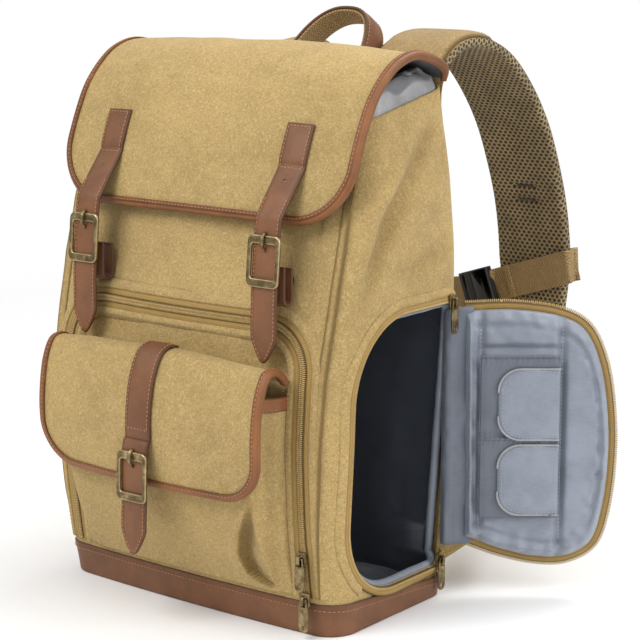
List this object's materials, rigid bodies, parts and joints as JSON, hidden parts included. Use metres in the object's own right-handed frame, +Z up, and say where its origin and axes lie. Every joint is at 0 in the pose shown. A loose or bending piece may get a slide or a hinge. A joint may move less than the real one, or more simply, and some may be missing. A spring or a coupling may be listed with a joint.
{
  "type": "camera backpack",
  "caption": "Canvas and leather camera backpack, flap and front pocket buckled, side door open on its padded compartment.",
  "frame": {"origin": "centre of the base's underside, on the ground", "axes": "+Z up, +Y towards the wearer's back, -Y the front with its pocket and buckles, +X the side with the open door"},
  "size_m": [0.4183, 0.4588, 0.4767],
  "materials": {
    "canvas": "washed cotton canvas with a mottled grain",
    "leather": "smooth brown leather, slightly polished",
    "lining": "grey-blue satin nylon",
    "dark_lining": "dark grey nylon",
    "silver_lining": "silver-grey nylon",
    "zip_tape": "mustard zip tape and coil",
    "webbing": "woven tan webbing",
    "spacer_mesh": "knitted spacer mesh",
    "black_plastic": "black moulded plastic",
    "antique_brass": "antique brass, worn pale at its edges"
  },
  "bodies": {
    "bag": {"main_body": "canvas", "front_compartment": "canvas", "camera_lining": "lining", "base_panel": "canvas", "base_band": "leather", "drawstring_collar": "silver_lining", "main_flap": "canvas", "main_flap_binding": "leather", "main_flap_lining": "dark_lining", "flap_strap_left": "leather", "flap_buckle_left": "antique_brass", "flap_prong_left": "antique_brass", "snap_tab_left": "leather", "snap_stud_left": "antique_brass", "flap_strap_right": "leather", "flap_buckle_right": "antique_brass", "flap_prong_right": "antique_brass", "snap_tab_right": "leather", "snap_stud_right": "antique_brass", "pocket_body": "canvas", "pocket_mouth_trim": "leather", "pocket_flap": "canvas", "pocket_flap_binding": "leather", "pocket_strap": "leather", "pocket_buckle": "antique_brass", "pocket_prong": "antique_brass", "front_zip": "zip_tape", "front_slider_upper": "antique_brass", "front_slider_lower": "antique_brass", "door_panel": "canvas", "door_lining": "lining", "door_pocket_panel": "lining", "door_pocket_upper": "lining", "door_pocket_lower": "lining", "door_zip": "zip_tape", "door_hinge": "lining", "opening_zip": "zip_tape", "door_slider_top": "antique_brass", "door_slider_bottom": "antique_brass", "handle_leather": "leather", "handle_webbing": "webbing", "shoulder_pad_left": "canvas", "shoulder_mesh_left": "spacer_mesh", "strap_adjuster_left": "black_plastic", "shoulder_webbing_left": "webbing", "anchor_wing_left": "canvas", "shoulder_pad_right": "canvas", "shoulder_mesh_right": "spacer_mesh", "strap_adjuster_right": "black_plastic", "shoulder_webbing_right": "webbing", "anchor_wing_right": "canvas", "chest_webbing_left": "webbing", "chest_webbing_right": "webbing", "chest_buckle_socket": "black_plastic", "chest_buckle_plug": "black_plastic"},
    "front_pull_upper": {"front_pull_upper": "antique_brass"},
    "front_pull_lower": {"front_pull_lower": "antique_brass"},
    "door_pull_top": {"door_pull_top": "antique_brass"},
    "door_pull_bottom": {"door_pull_bottom": "antique_brass"}
  },
  "joints": [
    {"name": "front_pull_upper_swing", "type": "hinge", "parent": "bag", "child": "front_pull_upper", "pos_m": [0.1225, -0.09364, 0.067], "axis": [-1, 0, 0], "range_deg": [0, 130]},
    {"name": "front_pull_lower_swing", "type": "hinge", "parent": "bag", "child": "front_pull_lower", "pos_m": [0.1225, -0.0891, 0.033], "axis": [-1, 0, 0], "range_deg": [0, 130]},
    {"name": "door_pull_top_swing", "type": "hinge", "parent": "bag", "child": "door_pull_top", "pos_m": [0.16098, 0.057, 0.25], "axis": [0, -1, 0], "range_deg": [0, 130]},
    {"name": "door_pull_bottom_swing", "type": "hinge", "parent": "bag", "child": "door_pull_bottom", "pos_m": [0.15124, 0.057, 0.034], "axis": [0, -1, 0], "range_deg": [0, 130]}
  ]
}
